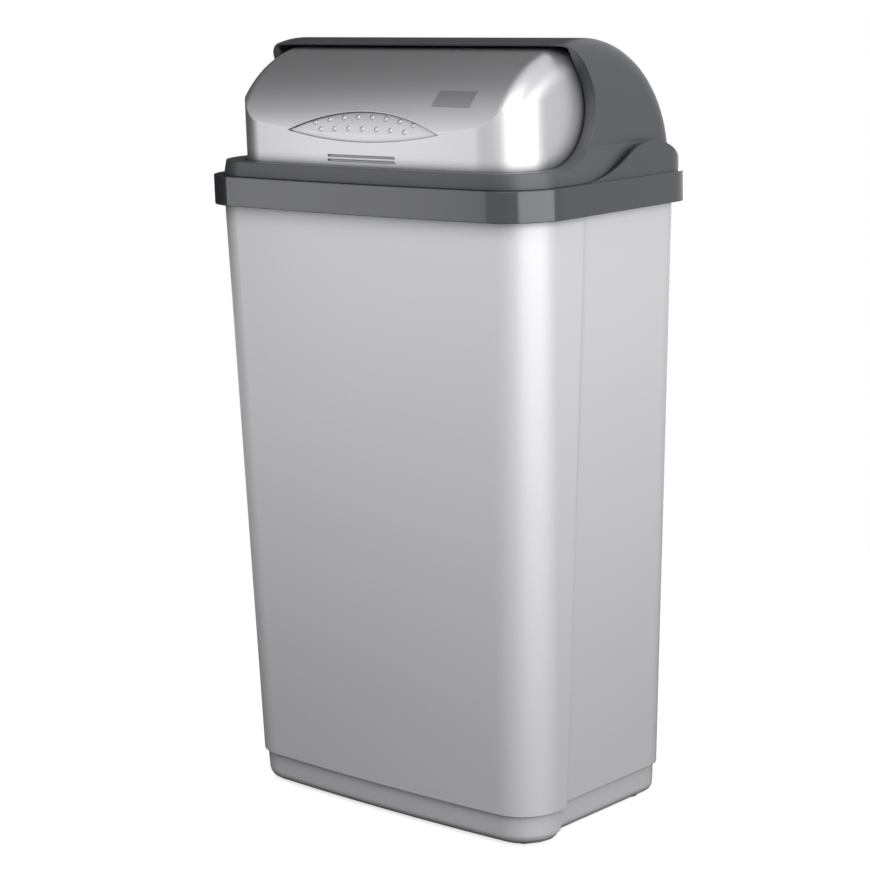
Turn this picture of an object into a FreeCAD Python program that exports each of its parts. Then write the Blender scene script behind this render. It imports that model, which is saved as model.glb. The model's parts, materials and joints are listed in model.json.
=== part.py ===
"""A free-standing kitchen waste bin: a tapered bucket, a rim ring, a hinged hood and a roll-back flap.

Millimetres, +Z up. The origin is on the floor under the middle of the rim ring.
+X is the viewer's right when facing the front, and the front faces -Y.
"""

import FreeCAD
import Part
import Sketcher
import math
import os

from FreeCAD import Rotation, Vector

# Driving dimensions in millimetres. A front or rear is a distance from the origin's X axis.
SIZES = {
    # Rim ring, the widest piece, which sets the plan of the bin
    "ring_half_width": 194.0,
    "ring_half_depth": 115.0,
    "ring_front_corner": 46.0,
    "ring_rear_corner": 30.0,
    "front_bow_radius": 2600.0,
    "ring_top_height": 559.5,
    "ring_band_height": 25.5,
    "ring_wall": 2.6,
    "shelf_side_width": 20.0,
    "shelf_front_width": 11.0,
    "shelf_rear_width": 7.5,
    "shelf_corner": 30.0,
    "seat_rib_thickness": 2.2,
    "seat_rib_spacing": 80.0,
    # Ears of the rim ring, which carry the hinge of the hood
    "ear_setback": 3.5,
    "ear_wall": 2.5,
    "ear_height": 28.5,
    "ear_lobe_radius": 55.0,
    "ear_lobe_y": 57.0,
    "ear_foot_y": 38.0,
    "ear_end_y": 97.0,
    # Bucket
    "rim_drop": 13.0,
    "rim_gap": 0.9,
    "lip_width": 5.0,
    "lip_height": 8.0,
    "lip_thickness": 1.8,
    "bucket_wall": 2.4,
    "bucket_floor": 3.0,
    "bucket_side_taper": 15.0,
    "bucket_depth_taper": 4.0,
    "column_depth_top": 79.0,
    "column_depth_bottom": 52.0,
    "panel_inset_top": 1.5,
    "panel_inset_bottom": 10.0,
    "plinth_height": 30.0,
    "plinth_inset": 3.0,
    "plinth_draft": 1.5,
    "plinth_fillet": 9.0,
    "foot_height": 2.5,
    "foot_radius": 6.0,
    "foot_margin": 26.0,
    # Hood
    "axis_rise": 9.5,
    "hood_rear_gap": 9.0,
    "hood_wall": 2.6,
    "hood_inset": 14.5,
    "collar_inset": 7.2,
    "flare_height": 32.0,
    "flare_lap": 1.0,
    "flare_front_lean": 1.5,
    "flare_rear_setback": 23.0,
    "flare_rear_corner": 34.0,
    "hood_front_setback": 6.0,
    "hood_front_corner": 46.0,
    "hood_end_round": 20.0,
    "collar_height": 13.0,
    "mouth_radius": 47.0,
    "mouth_front_y": 3.0,
    # Hinge of the hood
    "hinge_inset": 31.0,
    "hinge_rise": 16.0,
    "hinge_pin_radius": 3.0,
    "hinge_boss_radius": 5.5,
    "hinge_tip_length": 1.7,
    "hinge_tip_gap": 0.3,
    "hinge_clearance": 0.06,
    # Roll-back flap
    "flap_drop": 5.5,
    "flap_wall": 2.6,
    "flap_inset": 13.5,
    "flap_setback": 13.0,
    "flap_corner": 42.0,
    "flap_end_round": 22.0,
    "flap_rear_y": 14.0,
    "flap_skirt": 11.0,
    "flap_clearance": 1.8,
    # Pivots and stops of the flap
    "pivot_radius": 5.0,
    "pivot_clearance": 0.05,
    "pivot_boss_radius": 9.0,
    "pivot_head_radius": 8.0,
    "pivot_head_thickness": 2.5,
    "pivot_end_gap": 0.4,
    "stop_lug_radius": 3.0,
    "stop_lug_length": 6.0,
    "stop_gap": 0.4,
    # Finger grip and pull grooves of the flap
    "grip_half_width": 87.0,
    "grip_rise": 17.0,
    "grip_fall": 8.0,
    "grip_height": 32.0,
    "grip_depth": 1.4,
    "groove_half_length": 39.0,
    "groove_width": 1.8,
    "groove_pitch": 3.8,
    "groove_rise": 4.5,
    # Run-out of every cut past the piece that it cuts
    "overrun": 20.0,
}

doc = FreeCAD.newDocument("roll_top_bin")
sheet = doc.addObject("Spreadsheet::Sheet", "Sizes")
for row, (alias, number) in enumerate(SIZES.items(), start=1):
    sheet.set(f"A{row}", alias)
    sheet.set(f"B{row}", str(number))
    sheet.setAlias(f"B{row}", alias)
doc.recompute()


class Dim:
    """A length with its value and the sheet expression that gives it."""

    def __init__(self, value, text):
        self.value = value
        self.text = text

    @staticmethod
    def of(other):
        return other if isinstance(other, Dim) else Dim(float(other), str(other))

    def join(self, sign, other, value):
        return Dim(value, f"({self.text} {sign} {other.text})")

    def __add__(self, other):
        return self.join("+", other, self.value + other.value)

    def __sub__(self, other):
        return self.join("-", other, self.value - other.value)

    def __mul__(self, other):
        other = Dim.of(other)
        return self.join("*", other, self.value * other.value)

    def __truediv__(self, other):
        other = Dim.of(other)
        return self.join("/", other, self.value / other.value)

    def __neg__(self):
        return Dim(-self.value, f"(-1 * {self.text})")

    def root(self):
        return Dim(math.sqrt(self.value), f"sqrt({self.text})")


S = {alias: Dim(float(sheet.get(alias)), f"Sizes.{alias}") for alias in SIZES}
ZERO = Dim(0.0, "0")
# Slope of the mouth's roof edge: its run and rise for one unit along it
ROOF_RUN_SHARE = 0.5
ROOF_RISE_SHARE = math.sqrt(0.75)

# Heights and places that several pieces share
ring_top = S["ring_top_height"]
ring_foot = ring_top - S["ring_band_height"]
rim_top = ring_top - S["rim_drop"]
hood_radius = S["ring_half_depth"] - S["hood_rear_gap"]
axis_height = ring_top + S["axis_rise"]
overall_height = axis_height + hood_radius
collar_top = ring_top + S["collar_height"]
hinge_y = S["ring_half_depth"] - S["hinge_inset"]
hinge_height = ring_top + S["hinge_rise"]
hood_half_width = S["ring_half_width"] - S["hood_inset"]
collar_half_width = S["ring_half_width"] - S["collar_inset"]
hood_front = S["ring_half_depth"] - S["hood_front_setback"]
mouth_back_y = -S["mouth_front_y"]
flap_half_width = hood_half_width - S["flap_inset"]
flap_radius = hood_radius - S["flap_drop"]
flap_front = hood_front - S["flap_setback"]
rim_inset = S["ring_wall"] + S["rim_gap"] + S["lip_width"]
ear_inner_x = S["ring_half_width"] - S["ear_setback"] - S["ear_wall"]
across = S["ring_half_width"] + S["overrun"]

# A sketch's own X and Y on each plane, and the plane's normal
PLANES = {
    "XY": Rotation(),
    "YZ": Rotation(Vector(0, 1, 0), Vector(0, 0, 1), Vector(1, 0, 0), "ZXY"),
    "XZ": Rotation(Vector(1, 0, 0), Vector(0, 0, 1), Vector(0, -1, 0), "ZXY"),
}


def pin_point(sketch, edge, end, x, y):
    """Tie one end of a sketch edge to a place given from the sketch's origin."""
    for kind, place, axis in (("DistanceX", x, -2), ("DistanceY", y, -1)):
        if place is ZERO:
            sketch.addConstraint(Sketcher.Constraint("PointOnObject", edge, end, axis))
            continue
        if place.value > 0:
            rule = Sketcher.Constraint(kind, -1, 1, edge, end, place.value)
            text = place.text
        else:
            rule = Sketcher.Constraint(kind, edge, end, -1, 1, -place.value)
            text = (-place).text
        index = sketch.addConstraint(rule)
        sketch.setExpression(f"Constraints[{index}]", text)


def profile(name, plane, corners, arcs=None, height=None):
    """A closed sketch through corners, counter-clockwise, with arcs {edge: (radius, x, y of centre)}."""
    sketch = doc.addObject("Sketcher::SketchObject", name)
    sketch.Placement = FreeCAD.Placement(Vector(), PLANES[plane])
    if height is not None:
        sketch.setExpression("Placement.Base.z", height.text)
    arcs = arcs or {}
    ends = []
    for index, (x, y) in enumerate(corners):
        next_x, next_y = corners[(index + 1) % len(corners)]
        start = Vector(x.value, y.value)
        stop = Vector(next_x.value, next_y.value)
        if index not in arcs:
            sketch.addGeometry(Part.LineSegment(start, stop))
            ends.append((1, 2))
            continue
        radius, centre_x, centre_y = arcs[index]
        centre = Vector(centre_x.value, centre_y.value)
        first = math.atan2(start.y - centre.y, start.x - centre.x)
        last = math.atan2(stop.y - centre.y, stop.x - centre.x)
        turn = (start - centre).cross(stop - centre).z
        circle = Part.Circle(centre, Vector(0, 0, 1), radius.value)
        if turn >= 0:
            sketch.addGeometry(Part.ArcOfCircle(circle, first, last))
            ends.append((1, 2))
        else:
            sketch.addGeometry(Part.ArcOfCircle(circle, last, first))
            ends.append((2, 1))
    count = len(corners)
    for index in range(count):
        following = (index + 1) % count
        joint = Sketcher.Constraint("Coincident", index, ends[index][1], following, ends[following][0])
        sketch.addConstraint(joint)
    for index, (x, y) in enumerate(corners):
        pin_point(sketch, index, ends[index][0], x, y)
    for index, (radius, _, _) in arcs.items():
        rule = sketch.addConstraint(Sketcher.Constraint("Radius", index, radius.value))
        sketch.setExpression(f"Constraints[{rule}]", radius.text)
    return sketch


def plan(name, height, half_width, front, rear, front_corner, rear_corner, step=None):
    """A plan outline with a bowed front; step is (y, inset) where the sides set in behind the front."""
    bow = S["front_bow_radius"]
    bow_y = bow - front
    reach = bow - front_corner
    corner_x = half_width - front_corner
    corner_y = bow_y - (reach * reach - corner_x * corner_x).root()
    touch_x = bow * corner_x / reach
    touch_y = bow_y - bow * (bow_y - corner_y) / reach
    side_x = half_width
    right = [(touch_x, touch_y), (half_width, corner_y)]
    if step is not None:
        step_y, inset = step
        side_x = half_width - inset
        right += [(half_width, step_y), (side_x, step_y)]
    rear_y = rear - rear_corner
    rear_x = side_x - rear_corner
    right += [(side_x, rear_y), (rear_x, rear)]
    left = [(-x, y) for x, y in reversed(right)]
    corners = left[-1:] + right + left[:-1]
    count = len(right)
    arcs = {
        0: (bow, ZERO, bow_y),
        1: (front_corner, corner_x, corner_y),
        count - 1: (rear_corner, rear_x, rear_y),
        count + 1: (rear_corner, -rear_x, rear_y),
        2 * count - 1: (front_corner, -corner_x, corner_y),
    }
    return profile(name, "XY", corners, arcs, height)


def extrude(name, sketch, direction, forward, backward=ZERO):
    solid = doc.addObject("Part::Extrusion", name)
    solid.Base = sketch
    solid.DirMode = "Custom"
    solid.Dir = direction
    solid.Solid = True
    solid.setExpression("LengthFwd", forward.text)
    solid.setExpression("LengthRev", backward.text)
    return solid


def prism(name, bottom, top, *outline, **options):
    """A plan outline raised from one height to another."""
    sketch = plan(f"{name}_plan", bottom, *outline, **options)
    return extrude(name, sketch, Vector(0, 0, 1), top - bottom)


def tapered(name, sections):
    solid = doc.addObject("Part::Loft", name)
    solid.Sections = sections
    solid.Solid = True
    solid.Ruled = True
    return solid


def block(name, low, high):
    """A box between two corners."""
    box = doc.addObject("Part::Box", name)
    for side, axis, start, stop in zip(("Length", "Width", "Height"), "xyz", low, high):
        box.setExpression(side, (stop - start).text)
        box.setExpression(f"Placement.Base.{axis}", start.text)
    return box


def rod(name, radius, start_x, stop_x, y, z):
    """A cylinder that lies along X."""
    cylinder = doc.addObject("Part::Cylinder", name)
    cylinder.Placement = FreeCAD.Placement(Vector(), Rotation(Vector(0, 1, 0), 90))
    cylinder.setExpression("Radius", radius.text)
    cylinder.setExpression("Height", (stop_x - start_x).text)
    for axis, place in zip("xyz", (start_x, y, z)):
        cylinder.setExpression(f"Placement.Base.{axis}", place.text)
    return cylinder


def rods(name, radius, inner_x, outer_x, y, z):
    """The same rod on the right and on the left."""
    return [
        rod(f"right_{name}", radius, inner_x, outer_x, y, z),
        rod(f"left_{name}", radius, -outer_x, -inner_x, y, z),
    ]


def fuse(name, shapes):
    union = doc.addObject("Part::MultiFuse", name)
    union.Shapes = shapes
    return union


def common(name, shapes):
    shared = doc.addObject("Part::MultiCommon", name)
    shared.Shapes = shapes
    return shared


def cut(name, base, tool):
    difference = doc.addObject("Part::Cut", name)
    difference.Base = base
    difference.Tool = tool
    return difference


def barrel(name, radius, half_width, end_round):
    """A lying drum with rounded ends, turned about the flap's axis."""
    corners = [
        (-half_width, ZERO),
        (half_width, ZERO),
        (half_width, radius - end_round),
        (half_width - end_round, radius),
        (end_round - half_width, radius),
        (-half_width, radius - end_round),
    ]
    arcs = {
        2: (end_round, half_width - end_round, radius - end_round),
        4: (end_round, end_round - half_width, radius - end_round),
    }
    sketch = profile(f"{name}_section", "XZ", corners, arcs, axis_height)
    drum = doc.addObject("Part::Revolution", name)
    drum.Source = sketch
    drum.Axis = Vector(1, 0, 0)
    drum.setExpression("Base.z", axis_height.text)
    drum.Angle = 360
    drum.Solid = True
    return drum


# Bucket

def bucket_section(name, height, grow, taper_share, inset, column_depth):
    """The bucket's outline at one height, grown outwards, with its sides set in behind the columns."""
    half_width = S["ring_half_width"] - rim_inset - S["bucket_side_taper"] * taper_share + grow
    half_depth = S["ring_half_depth"] - rim_inset - S["bucket_depth_taper"] * taper_share + grow
    front_corner = S["ring_front_corner"] - rim_inset + grow
    rear_corner = S["ring_rear_corner"] - rim_inset + grow
    step = None
    if inset is not None:
        step = (column_depth - half_depth + grow + grow, inset)
    return plan(name, height, half_width, half_depth, half_depth, front_corner, rear_corner, step)


def bucket_loft(name, bottom, top, grow):
    low = bucket_section(
        f"{name}_low", bottom, grow, 1, S["panel_inset_bottom"], S["column_depth_bottom"]
    )
    high = bucket_section(f"{name}_high", top, grow, 0, S["panel_inset_top"], S["column_depth_top"])
    return tapered(name, [low, high])


def plinth_loft(name, bottom, top, grow):
    low = bucket_section(
        f"{name}_low", bottom, grow - S["plinth_draft"], 1, S["panel_inset_bottom"], S["column_depth_bottom"]
    )
    high = bucket_section(
        f"{name}_high", top, grow, 1, S["panel_inset_bottom"], S["column_depth_bottom"]
    )
    return tapered(name, [low, high])


def make_bucket():
    wall = S["bucket_wall"]
    floor_top = S["foot_height"] + S["bucket_floor"]
    plinth_top = S["plinth_height"]
    body = bucket_loft("bucket_body", plinth_top, rim_top, ZERO)
    plinth = plinth_loft("bucket_plinth", S["foot_height"], plinth_top, -S["plinth_inset"])
    doc.recompute()
    rounded = doc.addObject("Part::Fillet", "bucket_plinth_rounded")
    rounded.Base = plinth
    radius = S["plinth_fillet"].value
    edges = []
    for index, edge in enumerate(plinth.Shape.Edges, start=1):
        if edge.BoundBox.ZMax < S["foot_height"].value + S["plinth_draft"].value:
            edges.append((index, radius, radius))
    rounded.Edges = edges
    lip_plan = bucket_section("rim_lip_plan", rim_top - S["lip_height"], S["lip_width"], 0, None, None)
    lip = extrude("rim_lip", lip_plan, Vector(0, 0, 1), S["lip_height"])
    groove_grow = S["lip_width"] - S["lip_thickness"]
    groove_plan = bucket_section("lip_groove_plan", rim_top - S["lip_height"], groove_grow, 0, None, None)
    groove = extrude("lip_groove", groove_plan, Vector(0, 0, 1), S["lip_height"] - S["lip_thickness"])
    rim = cut("rim_skirt", lip, groove)
    outside = fuse("bucket_outside", [body, rounded, rim])
    cavity = bucket_loft("bucket_cavity", plinth_top + wall, rim_top, -wall)
    well = plinth_loft("bucket_well", floor_top, plinth_top + wall, -(S["plinth_inset"] + wall))
    inside = fuse("bucket_inside", [cavity, well])
    bucket = cut("bucket_shell", outside, inside)
    bucket.Label = "bucket"
    return bucket


def make_feet():
    """Four round pads under the corners of the plinth."""
    margin = rim_inset + S["plinth_inset"] + S["foot_margin"]
    half_width = S["ring_half_width"] - S["bucket_side_taper"] - margin
    half_depth = S["ring_half_depth"] - S["bucket_depth_taper"] - margin
    pads = []
    for side, x in (("right", half_width), ("left", -half_width)):
        for end, y in (("rear", half_depth), ("front", -half_depth)):
            pad = doc.addObject("Part::Cylinder", f"{end}_{side}_foot")
            pad.setExpression("Radius", S["foot_radius"].text)
            pad.setExpression("Height", S["foot_height"].text)
            pad.setExpression("Placement.Base.x", x.text)
            pad.setExpression("Placement.Base.y", y.text)
            pads.append(pad)
    feet = doc.addObject("Part::Compound", "feet_group")
    feet.Links = pads
    feet.Label = "bucket_feet"
    return feet


# Rim ring

def ring_plan(name, bottom, top, shrink):
    return prism(
        name, bottom, top,
        S["ring_half_width"] - shrink, S["ring_half_depth"] - shrink, S["ring_half_depth"] - shrink,
        S["ring_front_corner"] - shrink, S["ring_rear_corner"] - shrink,
    )


def ear_blank():
    """The side outline of an ear: a concave rise from its foot into a round lobe."""
    lobe = S["ear_lobe_radius"]
    lobe_y = S["ear_lobe_y"]
    foot_y = -S["ear_foot_y"]
    sunk = lobe - S["ear_height"]
    lobe_z = ring_top - sunk
    span = lobe_y - foot_y
    rise = (span * span + sunk * sunk - lobe * lobe) / (S["ear_height"] * 2)
    meet_y = foot_y + span * rise / (rise + lobe)
    meet_z = ring_top + rise - (rise + sunk) * rise / (rise + lobe)
    end_y = S["ear_end_y"]
    past = end_y - lobe_y
    end_z = lobe_z + (lobe * lobe - past * past).root()
    base_z = ring_top - S["ring_wall"]
    corners = [
        (foot_y, base_z),
        (end_y, base_z),
        (end_y, end_z),
        (meet_y, meet_z),
        (foot_y, ring_top),
    ]
    arcs = {2: (lobe, lobe_y, lobe_z), 3: (rise, foot_y, ring_top + rise)}
    sketch = profile("ear_section", "YZ", corners, arcs)
    return extrude("ear_slab", sketch, Vector(1, 0, 0), across, across)


def make_ring():
    wall = S["ring_wall"]
    over = S["overrun"]
    shelf_under = ring_top - wall
    band = ring_plan("ring_band", ring_foot, ring_top, ZERO)
    hollow = ring_plan("ring_hollow", ring_foot, shelf_under, wall)
    shell = cut("ring_shell", band, hollow)
    opening_half = S["ring_half_width"] - S["shelf_side_width"]
    opening_front = S["ring_half_depth"] - S["shelf_front_width"]
    opening_rear = S["ring_half_depth"] - S["shelf_rear_width"]
    ribs = []
    for number in (-1.5, -0.5, 0.5, 1.5):
        x = S["seat_rib_spacing"] * number
        half = S["seat_rib_thickness"] / 2
        ribs.append(block(
            f"front_rib_{len(ribs) + 1}",
            (x - half, -S["ring_half_depth"] - over, rim_top),
            (x + half, -opening_front, shelf_under),
        ))
    for side, start, stop in (("left", -across, -opening_half), ("right", opening_half, across)):
        for number in (-0.5, 0, 0.5):
            y = S["seat_rib_spacing"] * number
            half = S["seat_rib_thickness"] / 2
            ribs.append(block(
                f"{side}_rib_{len(ribs) + 1}", (start, y - half, rim_top), (stop, y + half, shelf_under)
            ))
    rib_core = ring_plan("rib_core", rim_top, shelf_under, wall)
    seats = common("seat_ribs", [fuse("rib_blanks", ribs), rib_core])
    ear_outer = ring_plan(
        "ear_outer", shelf_under, ring_top + S["ear_height"] + over, S["ear_setback"]
    )
    ears_whole = common("ears_whole", [ear_outer, ear_blank()])
    between = block(
        "between_ears",
        (-ear_inner_x, -across, ring_foot),
        (ear_inner_x, across, ring_top + S["ear_height"] + over),
    )
    ears = cut("ears", ears_whole, between)
    opening = prism(
        "ring_opening", ring_foot, ring_top + over,
        opening_half, opening_front, opening_rear, S["shelf_corner"], S["shelf_corner"],
    )
    swing_y = hinge_y - (hood_radius - hinge_y) - S["flap_clearance"]
    swing_zone = block(
        "hood_swing_zone", (-across, swing_y, ring_foot), (across, across, ring_top + over)
    )
    swing_plan = prism(
        "hood_swing_plan", ring_foot, ring_top + over,
        ear_inner_x, opening_front, opening_rear, S["shelf_corner"],
        S["ring_rear_corner"] - S["ear_setback"] - S["ear_wall"],
    )
    swing_room = common("hood_swing_room", [swing_plan, swing_zone])
    sockets = rods(
        "hinge_socket", S["hinge_pin_radius"] + S["hinge_clearance"],
        ear_inner_x - over, ear_inner_x + S["hinge_tip_length"] + S["hinge_tip_gap"],
        hinge_y, hinge_height,
    )
    whole = fuse("ring_whole", [shell, seats, ears])
    ring = cut("ring_cut", whole, fuse("ring_cuts", [opening, swing_room, *sockets]))
    ring.Label = "rim_ring"
    return ring


# Hood

def flare_loft(name, shrink, foot):
    """The hood's base, which widens downwards to the collar."""
    top = ring_top + S["flare_height"]
    drop_share = (ring_top - foot) / S["flare_height"]
    top_half = hood_half_width - S["flare_lap"]
    low_half = collar_half_width + (collar_half_width - top_half) * drop_share - shrink
    low_front = hood_front + S["flare_front_lean"] * drop_share - shrink
    rear = S["ring_half_depth"] - S["flare_rear_setback"] - shrink
    corners = (S["hood_front_corner"] - shrink, S["flare_rear_corner"] - shrink)
    low = plan(f"{name}_low", foot, low_half, low_front, rear, *corners)
    high = plan(
        f"{name}_high", top, top_half - shrink, hood_front - S["flare_front_lean"] - shrink, rear, *corners
    )
    return tapered(name, [low, high])


def dome(name, shrink, foot):
    """The hood's solid form: a half drum on a skirt, with a flared base that ends in the collar."""
    half_width = hood_half_width - shrink
    radius = hood_radius - shrink
    end_round = S["hood_end_round"] - shrink
    drum = barrel(f"{name}_drum", radius, half_width, end_round)
    front_corner = S["hood_front_corner"] - shrink
    above = prism(
        f"{name}_above_axis", axis_height, axis_height + across,
        half_width + S["flare_lap"], hood_front - S["flare_front_lean"] - shrink, S["ring_half_depth"],
        front_corner, end_round,
    )
    half_drum = common(f"{name}_half_drum", [drum, above])
    skirt = prism(
        f"{name}_skirt", foot, axis_height,
        half_width, radius - S["flare_lap"], radius, front_corner, end_round,
    )
    return fuse(name, [half_drum, skirt, flare_loft(f"{name}_flare", shrink, foot)])


def mouth_slab(name, grow):
    """The mouth's side outline: a level sill, a round back and a sloping roof edge, through the hood."""
    radius = S["mouth_radius"] + grow
    centre_y = mouth_back_y - S["mouth_radius"]
    centre_z = collar_top + S["mouth_radius"]
    turn_y = centre_y + radius * ROOF_RISE_SHARE
    turn_z = centre_z + radius * ROOF_RUN_SHARE
    front_y = -across
    top_z = turn_z + hood_radius * ROOF_RISE_SHARE
    corners = [
        (front_y, centre_z - radius),
        (centre_y, centre_z - radius),
        (turn_y, turn_z),
        (turn_y - hood_radius * ROOF_RUN_SHARE, top_z),
        (front_y, top_z),
    ]
    arcs = {1: (radius, centre_y, centre_z)}
    sketch = profile(f"{name}_section", "YZ", corners, arcs)
    return extrude(name, sketch, Vector(1, 0, 0), across, across)


def make_hood():
    wall = S["hood_wall"]
    over = S["overrun"]
    gap = S["flap_clearance"]
    boss_inner = flap_half_width + gap
    flap_room = prism(
        "flap_room", ring_top - over, overall_height + over,
        boss_inner, flap_front + gap, S["ring_half_depth"], S["flap_corner"] + gap, S["hood_end_round"],
    )
    mouth_return = cut("mouth_return", mouth_slab("mouth_surround", wall), flap_room)
    pivot_bosses = rods("pivot_boss", S["pivot_boss_radius"], boss_inner, across, ZERO, axis_height)
    cavity = cut("hood_cavity", dome("dome_inner", wall, ring_top - over), mouth_return)
    hinge_bosses = rods(
        "hinge_boss", S["hinge_boss_radius"], boss_inner, across, hinge_y, hinge_height
    )
    cavity = cut("hood_hollow", cavity, fuse("hood_bosses", [*pivot_bosses, *hinge_bosses]))
    shell = cut("hood_shell", dome("dome_outer", ZERO, ring_top), cavity)
    open_shell = cut("hood_open_shell", shell, mouth_slab("mouth", ZERO))
    pivot_bores = rods(
        "pivot_bore", S["pivot_radius"], flap_half_width, hood_half_width - wall / 2, ZERO, axis_height
    )
    hinge_bores = rods(
        "hinge_bore", S["hinge_pin_radius"], boss_inner + wall / 2, ear_inner_x + over,
        hinge_y, hinge_height,
    )
    hood = cut("hood_bored", open_shell, fuse("hood_bores", [*pivot_bores, *hinge_bores]))
    hood.Label = "hood"
    return hood


# Roll-back flap

def flap_form(name, shrink):
    """The flap's solid form: a drum cut back by an upright front with rounded corners."""
    half_width = flap_half_width - shrink
    drum = barrel(f"{name}_drum", flap_radius - shrink, half_width, S["flap_end_round"] - shrink)
    front = prism(
        f"{name}_front", axis_height - flap_radius, overall_height + S["overrun"],
        half_width, flap_front - shrink, S["ring_half_depth"], S["flap_corner"] - shrink,
        S["hood_end_round"],
    )
    return common(name, [drum, front])


def grip_tool():
    """An eye-shaped finger grip across the bend of the flap."""
    half = S["grip_half_width"]
    height = axis_height + S["grip_height"]
    rise = S["grip_rise"]
    fall = S["grip_fall"]
    upper = (half * half + rise * rise) / (rise * 2)
    lower = (half * half + fall * fall) / (fall * 2)
    corners = [(-half, height), (half, height)]
    arcs = {0: (lower, ZERO, height - fall + lower), 1: (upper, ZERO, height + rise - upper)}
    sketch = profile("grip_section", "XZ", corners, arcs)
    return extrude("grip_slab", sketch, Vector(0, -1, 0), across)


def groove_tool(name, height):
    half = S["groove_width"] / 2
    reach = S["groove_half_length"] - half
    corners = [
        (-reach, height - half),
        (reach, height - half),
        (reach + half, height),
        (reach, height + half),
        (-reach, height + half),
        (-reach - half, height),
    ]
    arcs = {edge: (half, reach, height) for edge in (1, 2)}
    arcs.update({edge: (half, -reach, height) for edge in (4, 5)})
    sketch = profile(f"{name}_section", "XZ", corners, arcs)
    return extrude(name, sketch, Vector(0, -1, 0), across)


def make_flap():
    wall = S["flap_wall"]
    over = S["overrun"]
    form = flap_form("flap_outer", ZERO)
    shell = cut("flap_shell", form, flap_form("flap_inner", wall))
    kept = block(
        "flap_kept",
        (-across, -across, collar_top - S["flap_skirt"]),
        (across, S["flap_rear_y"], overall_height + over),
    )
    scoop = common("flap_scoop", [shell, kept])
    lug_y = mouth_back_y + S["hood_wall"] + S["stop_gap"] + S["stop_lug_radius"]
    lug_z = collar_top + S["mouth_radius"]
    lugs = rods(
        "stop_lug", S["stop_lug_radius"], flap_half_width - wall / 2,
        flap_half_width + S["stop_lug_length"], lug_y, lug_z,
    )
    lower_groove = collar_top + S["groove_rise"]
    marks = fuse("flap_marks", [
        grip_tool(),
        groove_tool("lower_groove", lower_groove),
        groove_tool("upper_groove", lower_groove + S["groove_pitch"]),
    ])
    mark_tool = cut("flap_mark_tool", marks, flap_form("flap_mark_floor", S["grip_depth"]))
    holes = rods(
        "flap_pivot_hole", S["pivot_radius"] + S["pivot_clearance"],
        flap_half_width - over, flap_half_width + over, ZERO, axis_height,
    )
    flap = cut("flap_cut", fuse("flap_whole", [scoop, *lugs]), fuse("flap_cuts", [mark_tool, *holes]))
    flap.Label = "roller_flap"
    return flap


# Pins

def make_pivot_pins():
    """Headed pins, pushed from inside the flap through its cheeks into the hood's bosses."""
    cheek_inner = flap_half_width - S["flap_wall"]
    head_outer = cheek_inner - S["pivot_end_gap"]
    head_inner = head_outer - S["pivot_head_thickness"]
    tip = hood_half_width - S["hood_wall"] / 2
    heads = rods("pivot_head", S["pivot_head_radius"], head_inner, head_outer, ZERO, axis_height)
    shanks = rods("pivot_shank", S["pivot_radius"], head_inner, tip, ZERO, axis_height)
    pins = []
    for side, head, shank in zip(("right", "left"), heads, shanks):
        pin = fuse(f"{side}_pivot", [head, shank])
        pin.Label = f"{side}_pivot_pin"
        pins.append(pin)
    return pins


def make_hinge_pins():
    """Plain pins, pressed into the hood's bosses, whose tips turn in the ears of the ring."""
    inner = flap_half_width + S["flap_clearance"] + S["hood_wall"] / 2
    tip = ear_inner_x + S["hinge_tip_length"]
    pins = rods("hinge_pin_body", S["hinge_pin_radius"], inner, tip, hinge_y, hinge_height)
    for side, pin in zip(("right", "left"), pins):
        pin.Label = f"{side}_hinge_pin"
    return pins


pieces = [make_bucket(), make_feet(), make_ring(), make_hood(), make_flap()]
pieces += make_pivot_pins()
pieces += make_hinge_pins()
doc.recompute()

for item in doc.Objects:
    faults = [state for state in item.State if state in ("Invalid", "Error")]
    if faults:
        raise RuntimeError(f"{item.Name} did not build: {faults}")
for piece in pieces:
    if piece.Shape.isNull() or not piece.Shape.isValid():
        raise RuntimeError(f"{piece.Label} has no valid shape")

os.makedirs("parts", exist_ok=True)
for piece in pieces:
    piece.Shape.exportStep(f"parts/{piece.Label}.step")
    print(piece.Label, len(piece.Shape.Solids), round(piece.Shape.Volume), piece.Shape.BoundBox)
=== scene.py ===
"""A roll-top kitchen waste bin on a white sweep: finishes, small mouldings, stage, lights and camera."""

import json
import math

import bmesh
import bpy
from mathutils import Matrix, Vector


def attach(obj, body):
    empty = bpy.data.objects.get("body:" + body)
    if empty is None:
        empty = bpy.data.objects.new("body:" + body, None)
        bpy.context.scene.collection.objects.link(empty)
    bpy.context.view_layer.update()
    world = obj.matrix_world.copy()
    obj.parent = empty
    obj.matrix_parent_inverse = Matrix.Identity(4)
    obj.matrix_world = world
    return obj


MM = 0.001

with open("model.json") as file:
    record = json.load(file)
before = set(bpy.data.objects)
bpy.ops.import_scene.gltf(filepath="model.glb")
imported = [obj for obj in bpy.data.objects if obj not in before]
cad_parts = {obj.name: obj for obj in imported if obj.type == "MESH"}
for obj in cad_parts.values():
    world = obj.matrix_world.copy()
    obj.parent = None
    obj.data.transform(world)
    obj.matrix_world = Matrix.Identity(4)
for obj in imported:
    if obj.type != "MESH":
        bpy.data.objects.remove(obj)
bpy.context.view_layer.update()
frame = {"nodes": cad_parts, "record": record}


# Shader helpers

def math_node(nodes, links, operation, first, second):
    """The result of one operation on two other outputs."""
    node = nodes.new("ShaderNodeMath")
    node.operation = operation
    links.new(first, node.inputs[0])
    links.new(second, node.inputs[1])
    return node.outputs["Value"]


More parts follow.
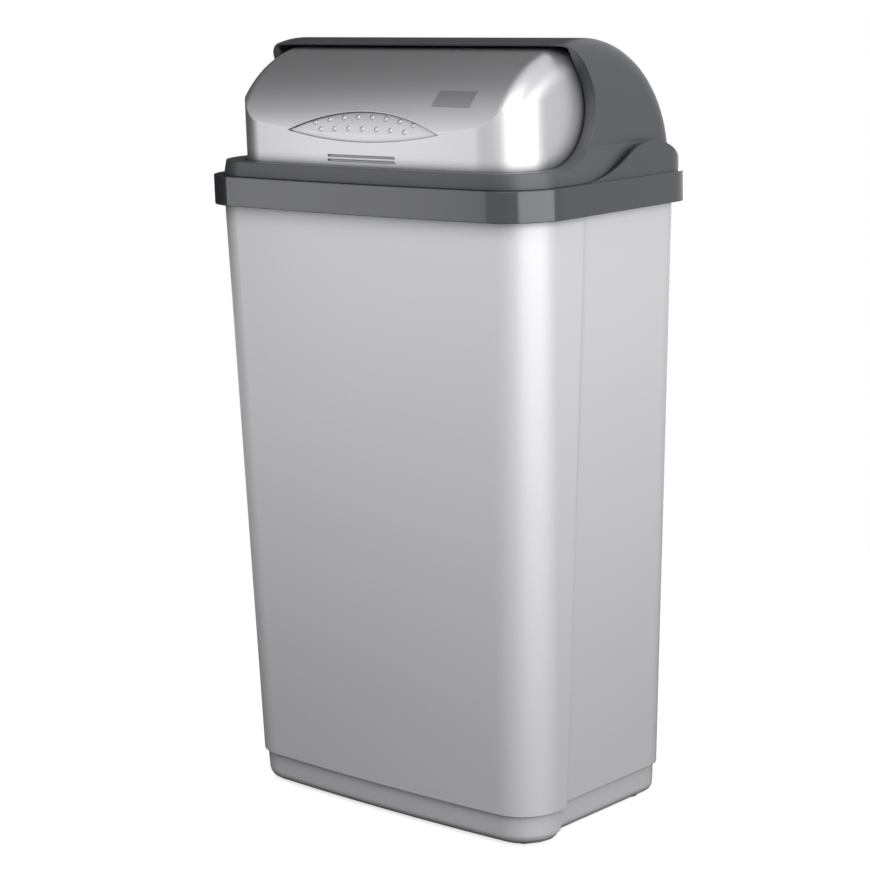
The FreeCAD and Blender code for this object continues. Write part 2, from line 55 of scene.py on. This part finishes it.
def ranged(nodes, links, value, from_low=0.0, from_high=1.0, to_low=0.0, to_high=1.0):
    """A value carried over from one range to another, and held between its ends."""
    node = nodes.new("ShaderNodeMapRange")
    node.inputs["From Min"].default_value = from_low
    node.inputs["From Max"].default_value = from_high
    node.inputs["To Min"].default_value = to_low
    node.inputs["To Max"].default_value = to_high
    links.new(value, node.inputs["Value"])
    return node.outputs["Result"]


# Finishes

TONE_SPREAD_SHARE = 0.04
POLISH_SPREAD_SHARE = 0.06
GRAIN_DETAIL = 3.0
GRAIN_STRENGTH_SHARE = 0.25
COAT_ROUGHNESS = 0.06
# Painted shade: ambient occlusion darkens the base colour in creases and next to other parts.
PAINTED_SHADE_REACH = 10.0 * MM
PAINTED_SHADE_START_SHARE = 0.4
PAINTED_SHADE_TONE_SHARE = 0.35
PAINTED_SHADE_SAMPLES = 8
EDGE_SAMPLES = 6


def plastic(
    name, colour, roughness, edge_radius, metallic=0.0, coat=0.0, grain_scale=700, grain_depth=0.02 * MM,
):
    """A moulded plastic with a fine grain, softened edges and painted shade that darkens its colour down in
    its creases and next to other parts.
    """
    material = bpy.data.materials.new(name)
    material.use_nodes = True
    nodes = material.node_tree.nodes
    links = material.node_tree.links
    surface = nodes["Principled BSDF"]
    surface.inputs["Metallic"].default_value = metallic
    surface.inputs["Coat Weight"].default_value = coat
    surface.inputs["Coat Roughness"].default_value = COAT_ROUGHNESS
    place = nodes.new("ShaderNodeTexCoord")
    noise = nodes.new("ShaderNodeTexNoise")
    noise.inputs["Scale"].default_value = grain_scale
    noise.inputs["Detail"].default_value = GRAIN_DETAIL
    links.new(place.outputs["Object"], noise.inputs["Vector"])
    grain = noise.outputs["Fac"]

    tone = ranged(nodes, links, grain, to_low=1 - TONE_SPREAD_SHARE, to_high=1 + TONE_SPREAD_SHARE)
    # Painted shade: the colour is darkened where ambient occlusion finds creases or nearby parts, standing
    # in for the shade that falls there.
    painted_shade_probe = nodes.new("ShaderNodeAmbientOcclusion")
    painted_shade_probe.samples = PAINTED_SHADE_SAMPLES
    painted_shade_probe.inputs["Distance"].default_value = PAINTED_SHADE_REACH
    openness = painted_shade_probe.outputs["AO"]
    painted_crease_shade = ranged(nodes, links, openness, from_low=PAINTED_SHADE_START_SHARE, to_low=PAINTED_SHADE_TONE_SHARE)
    shade = nodes.new("ShaderNodeVectorMath")
    shade.operation = "SCALE"
    shade.inputs[0].default_value = colour
    links.new(math_node(nodes, links, "MULTIPLY", tone, painted_crease_shade), shade.inputs["Scale"])
    links.new(shade.outputs["Vector"], surface.inputs["Base Color"])

    smoother = roughness * (1 - POLISH_SPREAD_SHARE)
    rougher = roughness * (1 + POLISH_SPREAD_SHARE)
    links.new(ranged(nodes, links, grain, to_low=smoother, to_high=rougher), surface.inputs["Roughness"])

    edge = nodes.new("ShaderNodeBevel")
    edge.samples = EDGE_SAMPLES
    edge.inputs["Radius"].default_value = edge_radius
    bump = nodes.new("ShaderNodeBump")
    bump.inputs["Strength"].default_value = GRAIN_STRENGTH_SHARE
    bump.inputs["Distance"].default_value = grain_depth
    links.new(grain, bump.inputs["Height"])
    links.new(edge.outputs["Normal"], bump.inputs["Normal"])
    links.new(bump.outputs["Normal"], surface.inputs["Normal"])
    return material


FINISHES = {
    "silver_bucket": plastic(
        "silver_bucket", (0.68, 0.68, 0.706), roughness=0.43, edge_radius=0.5 * MM, metallic=0.28,
        grain_scale=900,
    ),
    "silver_flap": plastic(
        "silver_flap", (0.53, 0.53, 0.546), roughness=0.38, edge_radius=1.0 * MM, metallic=0.85,
        grain_scale=900,
    ),
    "gloss_grey": plastic(
        "gloss_grey", (0.037, 0.039, 0.045), roughness=0.18, edge_radius=1.4 * MM, coat=0.4,
        grain_scale=500, grain_depth=0.01 * MM,
    ),
    "satin_grey": plastic(
        "satin_grey", (0.068, 0.070, 0.078), roughness=0.38, edge_radius=1.2 * MM, grain_depth=0.03 * MM,
    ),
    "plate_grey": plastic(
        "plate_grey", (0.33, 0.33, 0.342), roughness=0.40, edge_radius=0.4 * MM, metallic=0.85,
        grain_scale=900,
    ),
    "pin_plastic": plastic("pin_plastic", (0.06, 0.06, 0.065), roughness=0.45, edge_radius=0.4 * MM),
    "foot_plastic": plastic("foot_plastic", (0.70, 0.70, 0.70), roughness=0.50, edge_radius=0.6 * MM),
}
for part in frame["record"]["subparts"]:
    piece = frame["nodes"][part["node"]]
    piece.data.materials.clear()
    piece.data.materials.append(FINISHES[part["material_slot"]])


# Small mouldings of the flap

PROBE_START_Y = -500.0 * MM

flap = frame["nodes"]["roller_flap"]
bpy.context.view_layer.update()


def on_flap(x, z):
    """The place on the flap's outer face straight behind a point of its front, and the face's direction."""
    hit, spot, facing, _ = flap.ray_cast(Vector((x, PROBE_START_Y, z)), Vector((0, 1, 0)))
    if not hit:
        raise RuntimeError(f"the flap has no face at {x}, {z}")
    return spot, facing


def mesh_piece(name, shape, finish, smooth):
    """An object of its own from a finished shape."""
    mesh = bpy.data.meshes.new(name)
    shape.to_mesh(mesh)
    shape.free()
    for face in mesh.polygons:
        face.use_smooth = smooth
    mesh.materials.append(finish)
    piece = bpy.data.objects.new(name, mesh)
    bpy.context.scene.collection.objects.link(piece)
    return piece


PIP_RADIUS = 2.3 * MM
PIP_RISE_SHARE = 0.3
PIP_PITCH = 16.2 * MM
PIP_SUBDIVISIONS = 3
# Each row's count, the height of its arc one pitch past its ends, and the arc's rise.
PIP_ROWS = ((8, 604.5 * MM, 9.0 * MM), (7, 601.5 * MM, 2.5 * MM))

pips = bmesh.new()
for count, foot, rise in PIP_ROWS:
    half = PIP_PITCH * (count - 1) / 2
    for number in range(count):
        x = PIP_PITCH * number - half
        spot, facing = on_flap(x, foot + rise * (1 - (x / (half + PIP_PITCH)) ** 2))
        turn = facing.to_track_quat("Z", "Y").to_matrix().to_4x4()
        squeeze = Matrix.Diagonal((1, 1, PIP_RISE_SHARE, 1))
        bmesh.ops.create_icosphere(
            pips,
            subdivisions=PIP_SUBDIVISIONS,
            radius=PIP_RADIUS,
            matrix=Matrix.Translation(spot) @ turn @ squeeze,
        )
grip_pips = mesh_piece("grip_pips", pips, FINISHES["silver_flap"], True)
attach(grip_pips, "flap")

PLATE_LEFT = 72.0 * MM
PLATE_RIGHT = 114.0 * MM
PLATE_LOW = 623.5 * MM
PLATE_HIGH = 635.5 * MM
PLATE_LEAN = 2.0 * MM
PLATE_STAND_OFF = 0.3 * MM
PLATE_THICKNESS = 0.6 * MM
PLATE_STEPS = 8

plate = bmesh.new()
rows = []
for step in range(PLATE_STEPS + 1):
    share = step / PLATE_STEPS
    row = []
    for side in (PLATE_LEFT, PLATE_RIGHT):
        spot, facing = on_flap(side + PLATE_LEAN * share, PLATE_LOW + (PLATE_HIGH - PLATE_LOW) * share)
        row.append(plate.verts.new(spot + facing * PLATE_STAND_OFF))
    rows.append(row)
for low, high in zip(rows, rows[1:]):
    plate.faces.new((low[0], low[1], high[1], high[0]))
blank_plate = mesh_piece("blank_plate", plate, FINISHES["plate_grey"], False)
sides = blank_plate.modifiers.new("plate_sides", "SOLIDIFY")
sides.thickness = PLATE_THICKNESS
sides.offset = -1
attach(blank_plate, "flap")


# Stage

FLOOR_SIZE = 16.0
FLAG_PLACE = Vector((-1.3, 0.65, 2.0))
FLAG_LENGTH = 3.1
FLAG_HEIGHT = 3.4


def white_rays(nodes, links, mirrored=None):
    """One for the rays that show the white background: straight from the camera, off gloss or through glass.

    What gloss shows can be scaled by another value.
    """
    rays = nodes.new("ShaderNodeLightPath")
    gloss = rays.outputs["Is Glossy Ray"]
    if mirrored is not None:
        gloss = math_node(nodes, links, "MULTIPLY", gloss, mirrored)
    seen = math_node(nodes, links, "MAXIMUM", rays.outputs["Is Camera Ray"], gloss)
    return math_node(nodes, links, "MAXIMUM", seen, rays.outputs["Is Transmission Ray"])


def floor_material(name, seen_tone, glow, hidden_tone, near, far, mirror_near, mirror_far):
    """White to the camera with a soft contact shadow, and dim to other rays, but mirrored white far out."""
    material = bpy.data.materials.new(name)
    material.use_nodes = True
    nodes = material.node_tree.nodes
    links = material.node_tree.links
    nodes.clear()
    output = nodes.new("ShaderNodeOutputMaterial")
    lit = nodes.new("ShaderNodeBsdfDiffuse")
    lit.inputs["Color"].default_value = (seen_tone, seen_tone, seen_tone, 1)
    glowing = nodes.new("ShaderNodeEmission")
    glowing.inputs["Strength"].default_value = glow
    shadowed = nodes.new("ShaderNodeAddShader")
    links.new(lit.outputs["BSDF"], shadowed.inputs[0])
    links.new(glowing.outputs["Emission"], shadowed.inputs[1])
    white = nodes.new("ShaderNodeEmission")
    white.inputs["Strength"].default_value = 1.0
    place = nodes.new("ShaderNodeTexCoord")
    distance = nodes.new("ShaderNodeVectorMath")
    distance.operation = "LENGTH"
    links.new(place.outputs["Object"], distance.inputs[0])
    outward = distance.outputs["Value"]
    sweep = nodes.new("ShaderNodeMixShader")
    links.new(ranged(nodes, links, outward, from_low=near, from_high=far), sweep.inputs["Fac"])
    links.new(shadowed.outputs["Shader"], sweep.inputs[1])
    links.new(white.outputs["Emission"], sweep.inputs[2])
    dim = nodes.new("ShaderNodeBsdfDiffuse")
    dim.inputs["Color"].default_value = (hidden_tone, hidden_tone, hidden_tone, 1)
    mirrored = ranged(nodes, links, outward, from_low=mirror_near, from_high=mirror_far)
    choose = nodes.new("ShaderNodeMixShader")
    links.new(white_rays(nodes, links, mirrored), choose.inputs["Fac"])
    links.new(dim.outputs["BSDF"], choose.inputs[1])
    links.new(sweep.outputs["Shader"], choose.inputs[2])
    links.new(choose.outputs["Shader"], output.inputs["Surface"])
    return material


bpy.ops.mesh.primitive_plane_add(size=FLOOR_SIZE, location=(0, 0, 0))
floor = bpy.context.object
floor.name = "white_floor"
floor.data.materials.append(floor_material(
    "floor_white", seen_tone=0.9, glow=0.72, hidden_tone=0.15, near=0.5, far=1.0,
    mirror_near=0.4, mirror_far=2.8,
))

# A dark board at the left, which the camera doesn't see, darkens what the flap's roof mirrors.
bpy.ops.mesh.primitive_plane_add(size=1, location=FLAG_PLACE, rotation=(0, math.radians(90), 0))
flag = bpy.context.object
flag.name = "dark_flag"
flag.scale = (FLAG_HEIGHT, FLAG_LENGTH, 1)
flag.visible_camera = False
flag.data.materials.append(plastic(
    "flag_cloth", (0.02, 0.02, 0.02), roughness=0.9, edge_radius=1.0 * MM,
    grain_scale=300, grain_depth=0.1 * MM,
))


# Light

LID_CENTRE = Vector((0, 0, 600.0)) * MM


def softbox(name, azimuth, distance, low, high, width, power, aim=None):
    """A soft light on one side of the object, from a low to a high edge, upright or turned to a point."""
    lamp = bpy.data.lights.new(name, "AREA")
    lamp.shape = "RECTANGLE"
    lamp.size = width
    lamp.size_y = high - low
    lamp.energy = power
    box = bpy.data.objects.new(name, lamp)
    bpy.context.scene.collection.objects.link(box)
    turn = math.radians(azimuth)
    way = Vector((math.sin(turn), -math.cos(turn), 0))
    box.location = way * distance + Vector((0, 0, (low + high) / 2))
    towards = -way if aim is None else aim - box.location
    box.rotation_mode = "QUATERNION"
    box.rotation_quaternion = towards.to_track_quat("-Z", "Y")
    box.visible_camera = False


softbox("right_softbox", azimuth=74, distance=2.2, low=0.02, high=2.2, width=3.2, power=60)
softbox("left_softbox", azimuth=-46, distance=2.4, low=0.02, high=1.8, width=1.3, power=8)
softbox("rear_softbox", azimuth=222, distance=2.4, low=0.02, high=1.1, width=2.0, power=20)
softbox("high_softbox", azimuth=20, distance=1.2, low=1.6, high=2.4, width=1.4, power=16, aim=LID_CENTRE)


def white_world(name, ambient):
    """White where it is seen or mirrored, and a dim even light on the object."""
    world = bpy.data.worlds.new(name)
    world.use_nodes = True
    nodes = world.node_tree.nodes
    links = world.node_tree.links
    nodes.clear()
    output = nodes.new("ShaderNodeOutputWorld")
    seen = nodes.new("ShaderNodeBackground")
    seen.inputs["Color"].default_value = (1, 1, 1, 1)
    seen.inputs["Strength"].default_value = 1.0
    around = nodes.new("ShaderNodeBackground")
    around.inputs["Color"].default_value = (*ambient, 1)
    around.inputs["Strength"].default_value = 1.0
    choose = nodes.new("ShaderNodeMixShader")
    links.new(white_rays(nodes, links), choose.inputs["Fac"])
    links.new(around.outputs["Background"], choose.inputs[1])
    links.new(seen.outputs["Background"], choose.inputs[2])
    links.new(choose.outputs["Shader"], output.inputs["Surface"])
    return world


bpy.context.scene.world = white_world("white_sweep", ambient=(0.09, 0.09, 0.093))


# Camera

AZIMUTH = math.radians(42.45)
PITCH = math.radians(11.3)
ROLL = math.radians(-1.9)
TARGET = Vector((-13.6, 0.0, 324.7)) * MM
DISTANCE = 2218.0 * MM
FOCAL_PIXELS = 2488.5
IMAGE_PIXELS = 870.0
SENSOR_WIDTH = 36.0
CLIP_START = 0.05
CLIP_END = 50.0

back = Vector((
    math.sin(AZIMUTH) * math.cos(PITCH),
    -math.cos(AZIMUTH) * math.cos(PITCH),
    math.sin(PITCH),
))
level = Vector((math.cos(AZIMUTH), math.sin(AZIMUTH), 0.0))
upright = back.cross(level)
right = level * math.cos(ROLL) + upright * math.sin(ROLL)
up = upright * math.cos(ROLL) - level * math.sin(ROLL)
place = TARGET + back * DISTANCE

lens = bpy.data.cameras.new("photo_camera")
lens.sensor_width = SENSOR_WIDTH
lens.lens = FOCAL_PIXELS / IMAGE_PIXELS * SENSOR_WIDTH
lens.clip_start = CLIP_START
lens.clip_end = CLIP_END
camera = bpy.data.objects.new("photo_camera", lens)
bpy.context.scene.collection.objects.link(camera)
camera.matrix_world = Matrix((
    (right.x, up.x, back.x, place.x),
    (right.y, up.y, back.y, place.y),
    (right.z, up.z, back.z, place.z),
    (0, 0, 0, 1),
))
bpy.context.scene.camera = camera
bpy.context.scene.view_settings.view_transform = "Standard"
